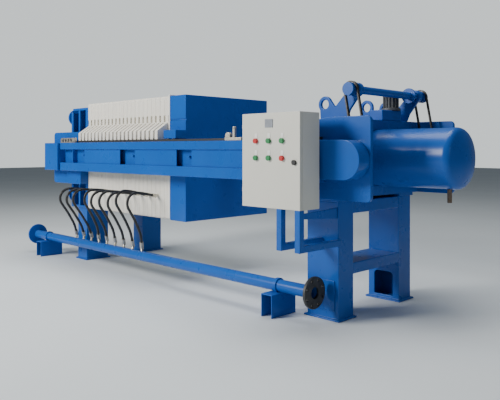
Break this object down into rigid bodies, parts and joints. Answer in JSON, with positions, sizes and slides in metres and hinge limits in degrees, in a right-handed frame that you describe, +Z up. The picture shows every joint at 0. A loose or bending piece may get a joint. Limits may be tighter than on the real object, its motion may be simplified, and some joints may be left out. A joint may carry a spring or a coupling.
{
  "type": "plate filter press",
  "caption": "Horizontal plate filter press: square plates squeezed on side beams by a hydraulic cylinder, with a hose manifold and control cabinet.",
  "frame": {"origin": "on the floor under the middle of the whole press's bounding box, hoses left out", "axes": "+X along the press from the thrust head to the hydraulic cylinder, -Y to the operator's side, +Z up"},
  "size_m": [4.429, 1.49, 1.512],
  "materials": {
    "blue_paint": "gloss enamel",
    "plate_polypropylene": "satin, moulded",
    "end_sheet": "satin",
    "wear_strip": "satin",
    "machined_steel": "turned",
    "chromed_rod": "polished",
    "chain_steel": "oiled",
    "motor_grey": "satin",
    "cabinet_grey": "fine texture powder coat",
    "button_plastic": "moulded lens",
    "display_plastic": "satin",
    "black_plastic": "satin",
    "hose_rubber": "satin",
    "fitting_zinc": "zinc plated",
    "flange_black": "black, machined face",
    "brown_steel": "bare"
  },
  "bodies": {
    "frame": {"beam_seats": "blue_paint", "blind_flange": "blue_paint", "cabinet_case": "cabinet_grey", "cabinet_stand": "blue_paint", "chain_guards": "blue_paint", "chamber_plates": "plate_polypropylene", "cylinder_barrel": "blue_paint", "cylinder_cap": "blue_paint", "cylinder_housing": "blue_paint", "drain_nozzle": "brown_steel", "drive_chains": "chain_steel", "end_blocks": "blue_paint", "end_sheet": "end_sheet", "feed_nozzle": "blue_paint", "filtrate_nozzles": "blue_paint", "front_beam": "blue_paint", "front_head_leg": "blue_paint", "front_housing_leg": "blue_paint", "gear_motor": "motor_grey", "gearbox": "blue_paint", "head_arms": "blue_paint", "hose_1": "hose_rubber", "hose_2": "hose_rubber", "hose_3": "hose_rubber", "hose_4": "hose_rubber", "hose_5": "hose_rubber", "hose_6": "hose_rubber", "hose_7": "hose_rubber", "hose_8": "hose_rubber", "hose_9": "hose_rubber", "housing_pads": "blue_paint", "inlet_flange": "flange_black", "leg_cover": "blue_paint", "leg_ties": "blue_paint", "lower_sprockets": "machined_steel", "manifold_fittings": "fitting_zinc", "manifold_pipe": "blue_paint", "membrane_plates": "plate_polypropylene", "pipe_supports": "blue_paint", "plate_fittings": "fitting_zinc", "rail_panels": "blue_paint", "rear_beam": "blue_paint", "rear_head_leg": "blue_paint", "rear_housing_leg": "blue_paint", "shaft_lugs": "blue_paint", "take_up_racks": "fitting_zinc", "thrust_head": "blue_paint", "wear_strips": "wear_strip"},
    "follower": {"follower": "blue_paint", "follower_brackets": "blue_paint", "follower_rollers": "machined_steel", "piston_rod": "chromed_rod"},
    "cabinet_door": {"cabinet_door": "cabinet_grey", "push_buttons": "button_plastic", "door_display": "display_plastic", "door_lock": "black_plastic"},
    "cross_shaft": {"drive_shaft": "blue_paint"},
    "shifter": {"shifter_carriages": "fitting_zinc"}
  },
  "joints": [
    {"name": "follower_slide", "type": "slide", "parent": "frame", "child": "follower", "axis": [1, 0, 0], "range_m": [0, 0.6]},
    {"name": "door_hinge", "type": "hinge", "parent": "frame", "child": "cabinet_door", "pos_m": [1.1195, -0.70825, 1.0045], "axis": [0, 0, -1], "range_deg": [0, 120]},
    {"name": "shifter_slide", "type": "slide", "parent": "frame", "child": "shifter", "axis": [1, 0, 0], "range_m": [-2.05, 0.375]},
    {"name": "shaft_turn", "type": "hinge", "parent": "frame", "child": "cross_shaft", "pos_m": [1.6575, 0.097, 1.44], "axis": [0, 1, 0], "range_deg": [-2941.4, 542.1]}
  ],
  "couplings": [
    {"joint": "shaft_turn", "follows": "shifter_slide", "rad_per_m": 25}
  ]
}
